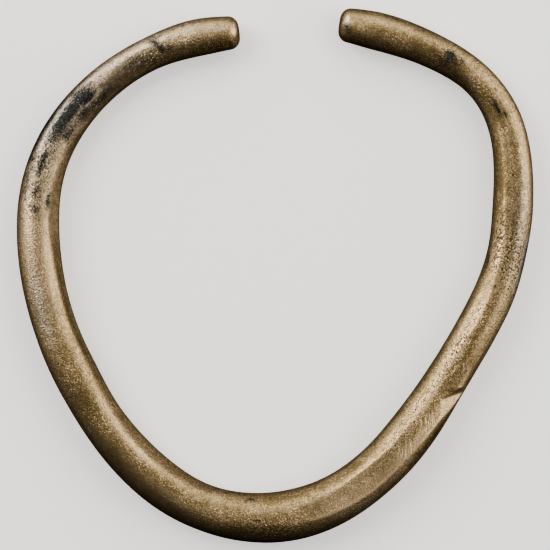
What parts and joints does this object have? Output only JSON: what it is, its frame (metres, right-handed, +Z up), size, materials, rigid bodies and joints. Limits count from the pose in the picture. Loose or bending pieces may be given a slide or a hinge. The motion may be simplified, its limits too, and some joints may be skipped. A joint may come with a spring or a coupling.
{
  "type": "bracelet",
  "caption": "Open silver bracelet: a solid rod bent by hand into an uneven ring, with blunt ends, long forged flats and a small test cut in its side.",
  "frame": {"origin": "below the middle of the ring's box, on the surface that the ring lies on", "axes": "+Z up, across the flat of the ring; +Y through its mouth, between its two ends; +X to the right seen from above with the mouth at the top"},
  "size_m": [0.0646, 0.0668, 0.0054],
  "materials": {
    "tarnished_silver": "silver, worn and pitted, under a warm brown tarnish with black sulphide patches"
  },
  "bodies": {
    "root": {"bracelet": "tarnished_silver"}
  },
  "joints": []
}
